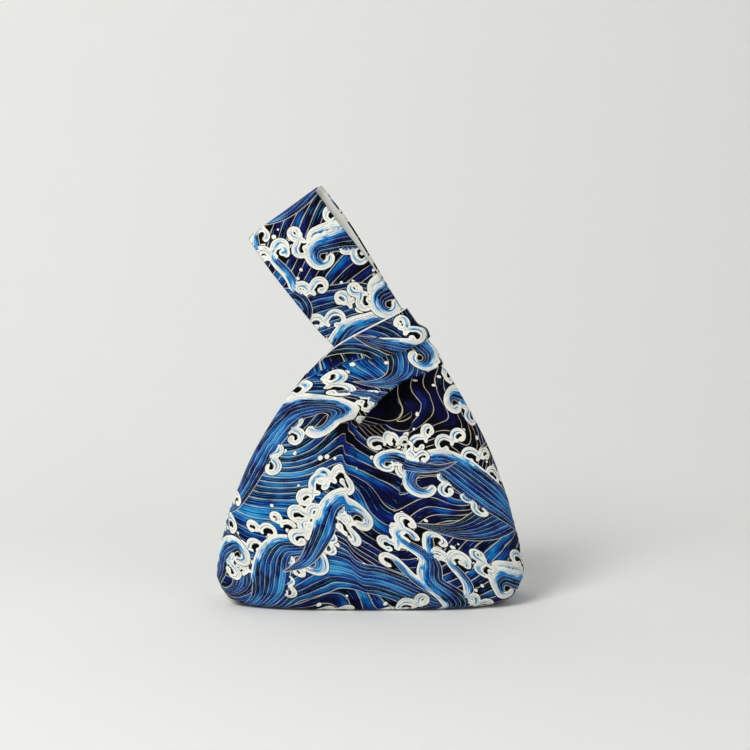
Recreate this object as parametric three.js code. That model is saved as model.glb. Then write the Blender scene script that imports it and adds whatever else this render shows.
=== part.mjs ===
// A cloth knot bag: the long handle loop is passed through the short one, which chokes the mouth shut.
// Millimetres, +Z up, +X to the right and -Y towards the viewer. The origin is the middle of the base.
// The bag is four cut pieces: a printed front and back, each cut in one with its half of both handles,
// and a plain lining behind each. Front and back are sewn together along the sides and under the base,
// and at the ends of the two loops.
import * as THREE from "three";

// Driving dimensions
const BODY_WIDTH = 250; // across the lower corners
const BODY_DEPTH = 92; // front to back, a little above the base
const BASE_LENGTH = 196; // flat part that stands on the floor
const BASE_DEPTH = 72;
const CORNER_LIFT = 21; // the lower corners are widest this far above the floor
const NECK_HEIGHT = 146; // floor to the lowest point of the neckline
const NECK_WIDTH = 3; // the neckline's narrow round bottom
const LEFT_ARM_HEIGHT = 174; // floor to the top of the left side seam, where the short handle starts
const RIGHT_ARM_HEIGHT = 189; // the same on the right, where the long handle starts
const HANDLE_WIDTH = 65; // of the long handle's band
const LOOP_LENGTH = 107; // of the long loop, from the middle of the knot to its folded top
const BAG_HEIGHT = 338; // floor to the highest corner of the long loop
const LEAN = THREE.MathUtils.degToRad(36); // the long loop leans this far to the left
const LOOP_TWIST = THREE.MathUtils.degToRad(13); // and its right edge turns this far to the front
const LOOP_SHIFT = 2.5; // its front band slips this far to the left, and its back band to the right
const LOOP_REACH = 131; // its folded top is this far left of the top of the right side seam
const CHOKE_GAP = 3.4; // half the space left inside the long handle where the short one chokes it
const HANDLE_CLEARANCE = 0.9; // between the long handle and the short one round it
const LOOP_GAP = 6.5; // half the space inside the long loop, at its widest
const CLOTH = 1.0; // printed cloth with its stiffening
const LINING = 0.7;
const PLY_GAP = 0.3; // between the printed cloth and the lining, and between sewn edges
const PLIES = CLOTH + PLY_GAP + LINING;
const VALLEY_DEPTH = 8; // of the soft valley below the neckline
const PLEAT_HEIGHT = 2.6; // of the main pleat along the short handle
const PULL_HEIGHT = 2.4; // of the folds that the knot pulls into the cloth
const PULL_SPREAD = 0.06; // their width, as a share of a handle's band
const SHORT_FADE = 1.2; // how soon those folds die out along the short handle
const LONG_FADE = 6; // and along the long one, which is pressed flat in the knot

// Grid steps
const LEFT_COLUMNS = 10;
const RIGHT_COLUMNS = 11;
const BODY_ROWS = 15;
const SHORT_ROWS = 11;
const SHORT_TURN_ROWS = 3;
const LONG_ROWS = 13;
const LONG_TURN_ROWS = 3;

const half = BODY_WIDTH / 2;
const point = (x, y, z) => new THREE.Vector3(x, y, z);
const smooth = THREE.MathUtils.smoothstep;
const bump = (x, middle, width) => Math.exp(-(((x - middle) / width) ** 2));

// The body's profiles, from the spine of the base out and up to the row where the neckline starts.
// The left and right ones are the side seams, and the front one runs up the middle of the front.
const armLeft = point(-0.248 * BODY_WIDTH, 0, LEFT_ARM_HEIGHT);
const armRight = point(0.25 * BODY_WIDTH, 0, RIGHT_ARM_HEIGHT);
const spine = BASE_LENGTH / 2 - BASE_DEPTH / 2;

function sideSeam(sign, arm) {
  const rise = (share) => CORNER_LIFT + share * (arm.z - CORNER_LIFT);
  return new THREE.CatmullRomCurve3([
    point(sign * spine, 0, 0),
    point(sign * (spine + 0.66 * (BASE_DEPTH / 2)), 0, 0),
    point((sign * BASE_LENGTH) / 2, 0, 0),
    point(sign * 0.93 * half, 0, 0.27 * CORNER_LIFT),
    point(sign * half, 0, CORNER_LIFT),
    point(sign * 0.985 * half, 0, rise(0.12)),
    point(sign * 0.905 * half, 0, rise(0.36)),
    point(sign * 0.785 * half, 0, rise(0.61)),
    point(sign * 0.642 * half, 0, rise(0.82)),
    arm,
  ]);
}
const leftSeam = sideSeam(-1, armLeft);
const rightSeam = sideSeam(1, armRight);

const frontLine = new THREE.CatmullRomCurve3(
  [
    [0, 0],
    [0.52, 0],
    [BASE_DEPTH / BODY_DEPTH, 0],
    [0.94, 0.03],
    [1, 0.13],
    [1, 0.27],
    [0.88, 0.49],
    [0.7, 0.71],
    [0.53, 0.87],
    [0.43, 1],
  ].map(([out, up]) => point(0, (-out * BODY_DEPTH) / 2, up * NECK_HEIGHT)),
);

// How square a row is: round-cornered at the base, pinched to the side seams at the top.
const squareness = (w) => THREE.MathUtils.lerp(0.62, 1.12, smooth(w, 0.35, 1));

// The soft valley that runs down from the neckline, between a bulge on its left and a ridge on its right.
const valleyX = (z) => THREE.MathUtils.lerp(17, -3, smooth(z, 30, NECK_HEIGHT));
function valley(x, z) {
  const depth = VALLEY_DEPTH * smooth(z, 15, NECK_HEIGHT);
  const from = x - valleyX(z);
  return depth * (bump(from, 6, 13) - 0.45 * bump(from, 34, 15) - 0.5 * bump(from, -26, 17));
}

// A point of the body: u runs from the left side seam to the right one, w from the spine to the neckline.
function bodyPoint(u, w) {
  const left = leftSeam.getPoint(w);
  const right = rightSeam.getPoint(w);
  const front = frontLine.getPoint(w);
  const power = squareness(w);
  const turn = Math.cos(Math.PI * u);
  const toSide = Math.abs(turn);
  const out = Math.max(0, Math.sin(Math.PI * u)) ** power;
  const across = (1 - Math.sign(turn) * toSide ** Math.min(power, 1)) / 2;
  const x = left.x + (right.x - left.x) * across;
  const rise = (turn > 0 ? left.z : right.z) - front.z;
  const z = Math.max(0, front.z + rise * toSide ** 2);
  return point(x, (front.y + valley(x, z)) * out, z);
}

// Where the neckline splits the top row: the short handle is left of it, and the long one right.
// Below it the same two columns follow the valley down.
const neckMiddle = 0.452;
const neckHalf = NECK_WIDTH / (2 * BODY_WIDTH);
const neckLeft = neckMiddle - neckHalf;
const neckRight = neckMiddle + neckHalf;
const columnsMiddle = (w) => THREE.MathUtils.lerp(0.55, neckMiddle, smooth(w, 0.4, 1));

// A band between two edges that starts on the body's top row and loses that row's bulge as it goes.
function bandPoint(outer, inner, topRow, flatAt, s, t) {
  const ruled = (k) => outer.getPoint(k).lerp(inner.getPoint(k), s);
  const start = topRow(s).sub(ruled(0));
  return ruled(t).addScaledVector(start, 1 - smooth(t, 0, flatAt));
}

// The long handle's band, seen flat from the front.
const loopUp = point(-Math.sin(LEAN), 0, Math.cos(LEAN));
const loopRight = point(Math.cos(LEAN), 0, Math.sin(LEAN));
const loopTop = point(armRight.x - LOOP_REACH, 0, BAG_HEIGHT - 1 - (HANDLE_WIDTH / 2) * loopRight.z);
const chokeMiddle = loopTop.clone().addScaledVector(loopUp, -LOOP_LENGTH);
const onLoop = (middle, across, up, y) =>
  middle.clone().addScaledVector(loopRight, across).addScaledVector(loopUp, up).setY(y);

const longTurn = LOOP_GAP - 2.4; // half the thickness of the loop just before its folded top
const longHalf = CHOKE_GAP + PLIES;
const longInner = new THREE.CatmullRomCurve3([
  bodyPoint(neckRight, 1),
  point(-15, -longHalf - 7, NECK_HEIGHT + 17),
  onLoop(chokeMiddle, -HANDLE_WIDTH / 2 + 2, -15, -longHalf),
  onLoop(chokeMiddle, -HANDLE_WIDTH / 2, 12, -longHalf),
  onLoop(chokeMiddle, -HANDLE_WIDTH / 2, 60, -LOOP_GAP - PLIES),
  onLoop(loopTop, -HANDLE_WIDTH / 2, -longTurn, -longTurn),
]);
const longOuter = new THREE.CatmullRomCurve3([
  armRight,
  point(armRight.x - 12, -longHalf + 0.4, RIGHT_ARM_HEIGHT + 11),
  onLoop(chokeMiddle, HANDLE_WIDTH / 2 - 4, -18, -longHalf + 0.8),
  onLoop(chokeMiddle, HANDLE_WIDTH / 2 - 2, 12, -longHalf + 0.4),
  onLoop(chokeMiddle, HANDLE_WIDTH / 2, 60, -LOOP_GAP - PLIES),
  onLoop(loopTop, HANDLE_WIDTH / 2, -longTurn, -longTurn),
]);
const longRow = (s) => bodyPoint(THREE.MathUtils.lerp(1, neckRight, s), 1);
const longBand = (s, t) => bandPoint(longOuter, longInner, longRow, 0.3, s, t);

// The short handle's band, wrapped across the long one. It is bunched, so a pleat runs along it.
const shortTurn = longHalf + HANDLE_CLEARANCE + PLIES; // half the thickness of the choke
const shortInner = new THREE.CatmullRomCurve3([
  bodyPoint(neckLeft, 1),
  point(-3, -26, NECK_HEIGHT + 14),
  point(19, -21, NECK_HEIGHT + 33),
  point(52, -shortTurn, NECK_HEIGHT + 47),
]);
const shortOuter = new THREE.CatmullRomCurve3([
  armLeft,
  point(-46, -shortTurn + 1, LEFT_ARM_HEIGHT + 16),
  point(-27, -shortTurn - 1.5, LEFT_ARM_HEIGHT + 35),
  point(23, -shortTurn, LEFT_ARM_HEIGHT + 62),
]);
const shortRow = (s) => bodyPoint(THREE.MathUtils.lerp(0, neckLeft, s), 1);
function shortBand(s, t) {
  const pleat = PLEAT_HEIGHT * (bump(s, 0.42, 0.1) + 0.54 * bump(s, 0.78, 0.1)) * smooth(t, 0.1, 0.6);
  return bandPoint(shortOuter, shortInner, shortRow, 0.9, s, t).add(point(0, -pleat, 0));
}

// A band followed to its end, where it turns round through a quarter circle to meet the other side's.
function turnedBand(band, s, t, rows, turnRows) {
  const flatShare = 1 - turnRows / rows;
  if (t <= flatShare) return band(s, t / flatShare);
  const angle = ((t - flatShare) / (1 - flatShare)) * (Math.PI / 2);
  const end = band(s, 1);
  const ahead = end.clone().sub(band(s, 0.97)).setY(0).normalize();
  const radius = -end.y;
  return end.addScaledVector(ahead, radius * Math.sin(angle)).setY(-radius * Math.cos(angle));
}

// Folds that run from the handles down into the body: each one's place across its handle's band, counted
// from the side seam, its share of the full height and how far it reaches down the body.
const shortPulls = [
  { share: 0.1, height: 0.5, reach: 0.4 },
  { share: 0.4, height: 1, reach: 0.65 },
  { share: 0.7, height: 0.8, reach: 0.55 },
];
const longPulls = [
  { share: 3 / 11, height: 0.7, reach: 0.5 },
  { share: 6 / 11, height: 0.9, reach: 0.6 },
  { share: 9 / 11, height: 0.5, reach: 0.4 },
];
function pulledBy(pulls, share, below) {
  let height = 0;
  for (const pull of pulls) {
    height += pull.height * bump(share, pull.share, PULL_SPREAD) * (1 - smooth(below, 0, pull.reach));
  }
  const awayFromSeam = smooth(share, 0, PULL_SPREAD);
  return point(0, -PULL_HEIGHT * height * awayFromSeam, 0);
}

// The front as a grid of points and four-cornered cells, with each point's share of the long loop.
function clothGrid() {
  const points = [];
  const loopShare = [];
  const cells = [];
  const add = (place, share = 0) => {
    points.push(place);
    loopShare.push(share);
    return points.length - 1;
  };
  const link = (lower, upper) => {
    for (let i = 0; i + 1 < lower.length; i++) cells.push([lower[i], lower[i + 1], upper[i + 1], upper[i]]);
  };
  const columns = LEFT_COLUMNS + 1 + RIGHT_COLUMNS;
  const bodyColumn = (i, w) => {
    const middle = columnsMiddle(w);
    if (i <= LEFT_COLUMNS) {
      const share = i / LEFT_COLUMNS;
      return bodyPoint((middle - neckHalf) * share, w).add(pulledBy(shortPulls, share, 1 - w));
    }
    const share = (columns - i) / RIGHT_COLUMNS;
    return bodyPoint(1 - (1 - middle - neckHalf) * share, w).add(pulledBy(longPulls, share, 1 - w));
  };
  const bodyRow = (w) => Array.from({ length: columns + 1 }, (_, i) => add(bodyColumn(i, w)));
  let row = bodyRow(0);
  for (let j = 1; j <= BODY_ROWS; j++) {
    const next = bodyRow(j / BODY_ROWS);
    link(row, next);
    row = next;
  }
  let shortEdge = row.slice(0, LEFT_COLUMNS + 1);
  for (let j = 1; j <= SHORT_ROWS; j++) {
    const t = j / SHORT_ROWS;
    const next = shortEdge.map((_, i) => {
      const share = i / LEFT_COLUMNS;
      const place = turnedBand(shortBand, share, t, SHORT_ROWS, SHORT_TURN_ROWS);
      return add(place.add(pulledBy(shortPulls, share, SHORT_FADE * t)));
    });
    link(shortEdge, next);
    shortEdge = next;
  }
  let longEdge = row.slice(LEFT_COLUMNS + 1);
  for (let j = 1; j <= LONG_ROWS; j++) {
    const t = j / LONG_ROWS;
    const next = longEdge.map((_, i) => {
      const share = 1 - i / RIGHT_COLUMNS;
      const place = turnedBand(longBand, share, t, LONG_ROWS, LONG_TURN_ROWS);
      return add(place.add(pulledBy(longPulls, share, LONG_FADE * t)), t);
    });
    link(longEdge, next);
    longEdge = next;
  }
  return { points, loopShare, cells };
}

// Outward normals. On a seam, where front meets back, the normal lies in the plane between them.
function gridNormals({ points, cells }) {
  const normals = points.map(() => point(0, 0, 0));
  for (const [a, b, c, d] of cells) {
    const first = points[c].clone().sub(points[a]);
    const normal = first.cross(points[d].clone().sub(points[b]));
    for (const k of [a, b, c, d]) normals[k].add(normal);
  }
  normals.forEach((n, k) => {
    if (Math.abs(points[k].y) < 1e-6) n.setY(0);
    n.normalize();
  });
  return normals;
}

// The long loop's twist about its own length, and the slip of its two bands past each other.
function settleLoop(p, share, side) {
  const slip = LOOP_SHIFT * smooth(share, 0.4, 0.7) * (1 - smooth(share, 0.85, 1));
  const angle = LOOP_TWIST * smooth(share, 0.4, 1);
  const from = p.clone().sub(loopTop);
  const across = from.dot(loopRight);
  const turned = across * Math.cos(angle) + from.y * Math.sin(angle);
  const y = from.y * Math.cos(angle) - across * Math.sin(angle);
  return p.addScaledVector(loopRight, turned - across + side * slip).setY(y);
}

const grid = clothGrid();
const normals = gridNormals(grid);

// One ply of the front (side -1) or back (side 1), from one depth under the outer surface to another.
function plyGeometry(side, from, to) {
  const { points, loopShare, cells } = grid;
  const placed = (k, depth) => {
    const p = points[k].clone().addScaledVector(normals[k], -depth);
    p.y = side * (-p.y + PLY_GAP / 2);
    return settleLoop(p, loopShare[k], side);
  };
  const count = points.length;
  const positions = [from, to].flatMap((depth) => points.flatMap((_, k) => placed(k, depth).toArray()));
  const faces = [];
  const quad = (a, b, c, d) => (side < 0 ? faces.push(a, b, c, a, c, d) : faces.push(a, c, b, a, d, c));
  const open = new Map();
  for (const cell of cells) {
    const [a, b, c, d] = cell;
    quad(a, b, c, d);
    quad(count + a, count + d, count + c, count + b);
    cell.forEach((p, k) => {
      const q = cell[(k + 1) % 4];
      if (!open.delete(`${q} ${p}`)) open.set(`${p} ${q}`, [p, q]);
    });
  }
  for (const [p, q] of open.values()) quad(q, p, count + p, count + q);
  const geometry = new THREE.BufferGeometry();
  geometry.setAttribute("position", new THREE.Float32BufferAttribute(positions, 3));
  geometry.setIndex(faces);
  geometry.computeVertexNormals();
  return geometry;
}

const cotton = (color, roughness) => new THREE.MeshStandardMaterial({ color, roughness, metalness: 0 });

const bag = new THREE.Group();
for (const [name, side] of [
  ["front", -1],
  ["back", 1],
]) {
  const outer = new THREE.Mesh(plyGeometry(side, 0, CLOTH), cotton(0x24479c, 0.85));
  outer.name = `outer_${name}_panel`;
  const lining = new THREE.Mesh(plyGeometry(side, CLOTH + PLY_GAP, PLIES), cotton(0xeceae4, 0.9));
  lining.name = `lining_${name}_panel`;
  bag.add(outer, lining);
}

export default bag;
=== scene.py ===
import math
import bpy
import numpy as np
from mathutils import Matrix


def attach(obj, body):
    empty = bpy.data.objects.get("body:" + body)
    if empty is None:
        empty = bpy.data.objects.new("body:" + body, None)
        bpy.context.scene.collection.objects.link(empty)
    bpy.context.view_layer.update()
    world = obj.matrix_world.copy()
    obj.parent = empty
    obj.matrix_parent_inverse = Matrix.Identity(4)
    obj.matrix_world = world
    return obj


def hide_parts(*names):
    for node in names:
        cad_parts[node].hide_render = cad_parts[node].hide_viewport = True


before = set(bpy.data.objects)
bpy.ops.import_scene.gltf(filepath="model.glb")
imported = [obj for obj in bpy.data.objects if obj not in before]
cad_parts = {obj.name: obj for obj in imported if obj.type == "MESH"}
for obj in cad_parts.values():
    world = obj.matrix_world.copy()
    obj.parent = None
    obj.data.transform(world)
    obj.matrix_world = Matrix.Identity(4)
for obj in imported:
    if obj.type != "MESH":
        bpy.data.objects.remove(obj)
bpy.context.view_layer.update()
scene = bpy.context.scene
scene.view_settings.view_transform = "Standard"
bpy.ops.object.select_all(action="DESELECT")

# the bag's cut, in millimetres
bag = dict(
    bodyWidth=250, bodyDepth=92, baseLength=196, baseDepth=72, cornerLift=21,
    neckHeight=146, neckWidth=3, leftArm=174, leftArmOut=62, rightArm=189, rightArmOut=62.5,
    handleWidth=65, loopLength=107, loopReach=131, height=338,
    lean=math.radians(36), twist=math.radians(13), slip=2.5,
    chokeGap=3.4, clearance=0.9, loopGap=6.5, loopTuck=2.4, cloth=1.0, lining=0.7, plyGap=0.3,
    valley=8, pleat=2.6, pull=2.4,
)
plies = bag["cloth"] + bag["plyGap"] + bag["lining"]
halfWidth = bag["bodyWidth"] / 2
neckMiddle = 0.452  # share of the way from the left seam to the right one
neckHalf = bag["neckWidth"] / (2 * bag["bodyWidth"])


def mix(a, b, t):
    return a + (b - a) * t


def smooth(x, low, high):
    t = np.clip((np.asarray(x, float) - low) / (high - low), 0, 1)
    return t * t * (3 - 2 * t)


def bump(x, middle, width):
    return np.exp(-(((x - middle) / width) ** 2))


# rises over the first span and falls over the second
def window(x, start, end):
    return smooth(x, *start) * (1 - smooth(x, *end))


def onSeam(points):
    return np.abs(points[..., 1]) < 1e-6


# lengths from the first point of each line to all of its points
def lengthAlong(points, axis=0):
    parts = np.linalg.norm(np.diff(points, axis=axis), axis=-1)
    return np.insert(np.cumsum(parts, axis=axis), 0, 0, axis=axis)


# a soft curve through the given points; a spacing of 0.5 is what the solids use
def curveAt(points, t, spacing=0.5):
    pts = np.asarray(points, float)
    pts = np.vstack([2 * pts[0] - pts[1], pts, 2 * pts[-1] - pts[-2]])
    where = np.clip(np.asarray(t, float), 0, 1) * (len(pts) - 3)
    first = np.minimum(where.astype(int), len(pts) - 4)
    k = (where - first)[..., None]
    a, b, c, d = (pts[first + n] for n in range(4))
    ab, bc, cd = (np.maximum(np.linalg.norm(side, axis=-1, keepdims=True), 1e-4) ** spacing
                  for side in (b - a, c - b, d - c))
    start = ((b - a) / ab - (c - a) / (ab + bc) + (c - b) / bc) * bc
    end = ((c - b) / bc - (d - b) / (bc + cd) + (d - c) / cd) * bc
    return (b + start * k + (3 * (c - b) - 2 * start - end) * k ** 2
            + (2 * (b - c) + start + end) * k ** 3)


# profiles from the spine of the base out and up to the row where the neckline starts
armLeft = np.array([-bag["leftArmOut"], 0, bag["leftArm"]])
armRight = np.array([bag["rightArmOut"], 0, bag["rightArm"]])
spine = bag["baseLength"] / 2 - bag["baseDepth"] / 2
cornerShares = dict(base=0.66, out=0.93, up=0.27)
# out: share of half the width or depth; up: share of the rise to the arm or the neck
seamShares = ((0.985, 0.12), (0.905, 0.36), (0.785, 0.61), (0.642, 0.82))
frontShares = ((0, 0), (0.52, 0), (bag["baseDepth"] / bag["bodyDepth"], 0), (0.94, 0.03), (1, 0.13),
               (1, 0.27), (0.88, 0.49), (0.7, 0.71), (0.53, 0.87), (0.43, 1))


def sideSeam(sign, arm):
    lift = bag["cornerLift"]
    baseOut = spine + cornerShares["base"] * bag["baseDepth"] / 2
    places = [(spine, 0), (baseOut, 0), (bag["baseLength"] / 2, 0),
              (cornerShares["out"] * halfWidth, cornerShares["up"] * lift), (halfWidth, lift)]
    places += [(out * halfWidth, lift + up * (arm[2] - lift)) for out, up in seamShares]
    return np.array([(sign * x, 0, z) for x, z in places] + [tuple(arm)])


leftSeam = sideSeam(-1, armLeft)
rightSeam = sideSeam(1, armRight)
frontLine = np.array([(0, -out * bag["bodyDepth"] / 2, up * bag["neckHeight"]) for out, up in frontShares])

# the hollow down the front and the ridges beside it: share of the depth, place, width
valleyWaves = ((1, 6, 13), (-0.45, 34, 15), (-0.5, -26, 17))
valleyPath = dict(foot=17, top=-3, low=15, bend=30)
roundness = dict(base=0.62, neck=1.12, start=0.35)


def valley(x, z):
    depth = bag["valley"] * smooth(z, valleyPath["low"], bag["neckHeight"])
    upward = smooth(z, valleyPath["bend"], bag["neckHeight"])
    off = x - mix(valleyPath["foot"], valleyPath["top"], upward)
    return depth * sum(tall * bump(off, place, width) for tall, place, width in valleyWaves)


def bodyPoint(u, w):
    left, right, front = curveAt(leftSeam, w), curveAt(rightSeam, w), curveAt(frontLine, w)
    power = mix(roundness["base"], roundness["neck"], smooth(w, roundness["start"], 1))
    turn = np.cos(np.pi * u)
    toSide = np.abs(turn)
    out = np.clip(np.sin(np.pi * u), 0, None) ** power
    across = (1 - np.sign(turn) * toSide ** np.minimum(power, 1)) / 2
    x = mix(left[..., 0], right[..., 0], across)
    rise = np.where(turn > 0, left[..., 2], right[..., 2]) - front[..., 2]
    z = np.clip(front[..., 2] + rise * toSide ** 2, 0, None)
    return np.stack([x, (front[..., 1] + valley(x, z)) * out, z], -1)


# the two handles, each a band between an outer and an inner edge
loopUp = np.array([-math.sin(bag["lean"]), 0, math.cos(bag["lean"])])
loopRight = np.array([math.cos(bag["lean"]), 0, math.sin(bag["lean"])])
halfBand = bag["handleWidth"] / 2
loopTop = np.array([armRight[0] - bag["loopReach"], 0,
                    bag["height"] - bag["cloth"] - halfBand * loopRight[2]])
chokeMiddle = loopTop - loopUp * bag["loopLength"]
longTurn = bag["loopGap"] - bag["loopTuck"]
longHalf = bag["chokeGap"] + plies
shortTurn = longHalf + bag["clearance"] + plies


def onLoop(middle, across, up, y):
    place = middle + loopRight * across + loopUp * up
    return (place[0], y, place[2])


longInner = [
    tuple(bodyPoint(np.array(neckMiddle + neckHalf), np.array(1.0))),
    (-15, -longHalf - 7, bag["neckHeight"] + 17),
    onLoop(chokeMiddle, -halfBand + 2, -15, -longHalf),
    onLoop(chokeMiddle, -halfBand, 12, -longHalf),
    onLoop(chokeMiddle, -halfBand, 60, -bag["loopGap"] - plies),
    onLoop(loopTop, -halfBand, -longTurn, -longTurn),
]
longOuter = [
    tuple(armRight),
    (armRight[0] - 12, -longHalf + 0.4, bag["rightArm"] + 11),
    onLoop(chokeMiddle, halfBand - 4, -18, -longHalf + 0.8),
    onLoop(chokeMiddle, halfBand - 2, 12, -longHalf + 0.4),
    onLoop(chokeMiddle, halfBand, 60, -bag["loopGap"] - plies),
    onLoop(loopTop, halfBand, -longTurn, -longTurn),
]
shortInner = [
    tuple(bodyPoint(np.array(neckMiddle - neckHalf), np.array(1.0))),
    (-3, -26, bag["neckHeight"] + 14),
    (19, -21, bag["neckHeight"] + 33),
    (52, -shortTurn, bag["neckHeight"] + 47),
]
shortOuter = [
    tuple(armLeft),
    (-46, -shortTurn + 1, bag["leftArm"] + 16),
    (-27, -shortTurn - 1.5, bag["leftArm"] + 35),
    (23, -shortTurn, bag["leftArm"] + 62),
]
# swells along the short handle: share across, share of the height
shortSwells = ((0.42, 1), (0.78, 0.54))
swellFade = dict(width=0.1, start=0.1, full=0.6)
flatAt = dict(short=0.9, long=0.3)  # share of a handle past which it no longer follows the body's row


def bandPoint(outer, inner, rowStart, rowEnd, flat, s, t):
    ruled = mix(curveAt(outer, t), curveAt(inner, t), s[..., None])
    first = mix(np.array(outer[0]), np.array(inner[0]), s[..., None])
    start = bodyPoint(mix(rowStart, rowEnd, s), np.ones_like(s)) - first
    return ruled + start * (1 - smooth(t, 0, flat))[..., None]


def longBand(s, t):
    return bandPoint(longOuter, longInner, 1.0, neckMiddle + neckHalf, flatAt["long"], s, t)


def shortBand(s, t):
    swell = bag["pleat"] * sum(tall * bump(s, place, swellFade["width"]) for place, tall in shortSwells)
    place = bandPoint(shortOuter, shortInner, 0.0, neckMiddle - neckHalf, flatAt["short"], s, t)
    place[..., 1] -= swell * smooth(t, swellFade["start"], swellFade["full"])
    return place


# the end of a band, turned through a quarter circle to meet the other panel
def bandTurn(band, s, angle):
    nearEnd = 0.97
    end = band(s, np.ones_like(s))
    ahead = end - band(s, np.full_like(s, nearEnd))
    ahead[..., 1] = 0
    ahead /= np.linalg.norm(ahead, axis=-1, keepdims=True)
    radius = -end[..., 1]
    place = end + ahead * (radius * np.sin(angle))[..., None]
    place[..., 1] = -radius * np.cos(angle)
    return place


# folds from the handles down into the body: share across the handle, share of the height, reach
shortPulls = [(0.1, 0.5, 0.4), (0.4, 1, 0.65), (0.7, 0.8, 0.55)]
longPulls = [(3 / 11, 0.7, 0.5), (6 / 11, 0.9, 0.6), (9 / 11, 0.5, 0.4)]
pullFade = dict(spread=0.06, short=1.2, long=6)


def pulledBy(pulls, share, below):
    height = sum(tall * bump(share, place, pullFade["spread"]) * (1 - smooth(below, 0, reach))
                 for place, tall, reach in pulls)
    return bag["pull"] * height * smooth(share, 0, pullFade["spread"])


# steps of the fine grid, each a multiple of three so that the hidden inner face can be coarser
steps = dict(left=138, neck=3, right=165, base=6, body=141, short=75, shortTurn=9, long=135, longTurn=9)
coarseStep = 3
baseEdge = 2 / (len(frontLine) - 1)  # where along a profile the base turns up into the wall
middleColumn = dict(base=0.55, start=0.4)  # its share across at the base, and where it starts to move
straightShare = dict(short=8 / 11, long=10 / 13)  # of a handle's length, before its end turns over


# spreads the wall's rows evenly along a profile
def wallSteps(points, samples=2000):
    t = np.linspace(baseEdge, 1, samples)
    length = lengthAlong(curveAt(points, t))
    return np.interp(np.linspace(0, length[-1], steps["body"] + 1), length, t)


# a handle's rows, along the band and then round its end, and how far along each row is
def bandRows(name, band, column):
    straight = straightShare[name]
    s, t = np.meshgrid(column, np.linspace(0, 1, steps[name] + 1)[1:])
    rows = band(s, t)
    s, a = np.meshgrid(column, np.linspace(0, np.pi / 2, steps[name + "Turn"] + 1)[1:])
    along = np.concatenate([t[:, 0] * straight, straight + a[:, 0] / (np.pi / 2) * (1 - straight)])
    return np.concatenate([rows, bandTurn(band, s, a)]), along


def panelGrid():
    rows = np.linspace(0, baseEdge, steps["base"] + 1)[:-1]
    rows = np.concatenate([rows, (wallSteps(frontLine) + wallSteps(leftSeam)) / 2])
    index = np.arange(steps["left"] + steps["neck"] + steps["right"] + 1)
    middle = mix(middleColumn["base"], neckMiddle, smooth(rows, middleColumn["start"], 1))[:, None]
    leftShare = np.clip(index / steps["left"], 0, 1)
    neckShare = np.clip((index - steps["left"]) / steps["neck"], 0, 1)
    rightShare = np.clip((index - steps["left"] - steps["neck"]) / steps["right"], 0, 1)
    u = leftShare * (middle - neckHalf) + neckShare * 2 * neckHalf + rightShare * (1 - middle - neckHalf)
    body = bodyPoint(u, np.broadcast_to(rows[:, None], u.shape))
    onLeft = index <= steps["left"]
    leftColumn = np.where(onLeft, leftShare, 1)
    rightColumn = np.where(onLeft, 1, 1 - rightShare)
    below = 1 - rows[:, None]
    body[..., 1] -= np.where(onLeft, pulledBy(shortPulls, leftColumn, below),
                             pulledBy(longPulls, rightColumn, below))

    shortColumn = np.linspace(0, 1, steps["left"] + 1)
    longColumn = np.linspace(1, 0, steps["right"] + 1)
    short, shortAlong = bandRows("short", shortBand, shortColumn)
    long, longAlong = bandRows("long", longBand, longColumn)
    short[..., 1] -= pulledBy(shortPulls, shortColumn, pullFade["short"] * shortAlong[:, None])
    long[..., 1] -= pulledBy(longPulls, longColumn, pullFade["long"] * longAlong[:, None])

    blocks = (body, short, long)
    counts = [block.shape[0] * block.shape[1] for block in blocks]
    starts = np.cumsum([0] + counts)
    bodyIds, shortIds, longIds = (start + np.arange(count).reshape(block.shape[:2])
                                  for start, count, block in zip(starts, counts, blocks))
    shortIds = np.vstack([bodyIds[-1:, :steps["left"] + 1], shortIds])
    longIds = np.vstack([bodyIds[-1:, -steps["right"] - 1:], longIds])
    rim = np.concatenate([
        bodyIds[0, :-1], bodyIds[:-1, -1], longIds[:-1, -1], longIds[-1, :0:-1], longIds[:0:-1, 0],
        bodyIds[-1, steps["left"] + steps["neck"]:steps["left"]:-1], shortIds[:-1, -1], shortIds[-1, :0:-1],
        shortIds[:0:-1, 0], bodyIds[:0:-1, 0],
    ])
    return dict(
        points=np.concatenate([block.reshape(-1, 3) for block in blocks]),
        grids=(bodyIds, shortIds, longIds), rim=rim,
        longShare=np.concatenate([np.zeros(counts[0] + counts[1]), np.repeat(longAlong, len(longColumn))]),
        column=np.concatenate([np.tile(leftColumn * rightColumn, len(rows)), np.tile(shortColumn, len(short)),
                               np.tile(longColumn, len(long))]),
        onRight=np.concatenate([np.tile(~onLeft, len(rows)), np.zeros(counts[1], bool),
                                np.ones(counts[2], bool)]),
    )


def cellsOf(ids, stride=1):
    ids = ids[::stride, ::stride]
    return np.stack([ids[:-1, :-1], ids[:-1, 1:], ids[1:, 1:], ids[1:, :-1]], -1).reshape(-1, 4)


def gridNormals(points, grids):
    cells = np.concatenate([cellsOf(ids) for ids in grids])
    normal = np.cross(points[cells[:, 2]] - points[cells[:, 0]], points[cells[:, 3]] - points[cells[:, 1]])
    normals = np.zeros_like(points)
    for k in range(4):
        np.add.at(normals, cells[:, k], normal)
    normals[onSeam(points), 1] = 0
    return normals / np.linalg.norm(normals, axis=1, keepdims=True)


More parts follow.
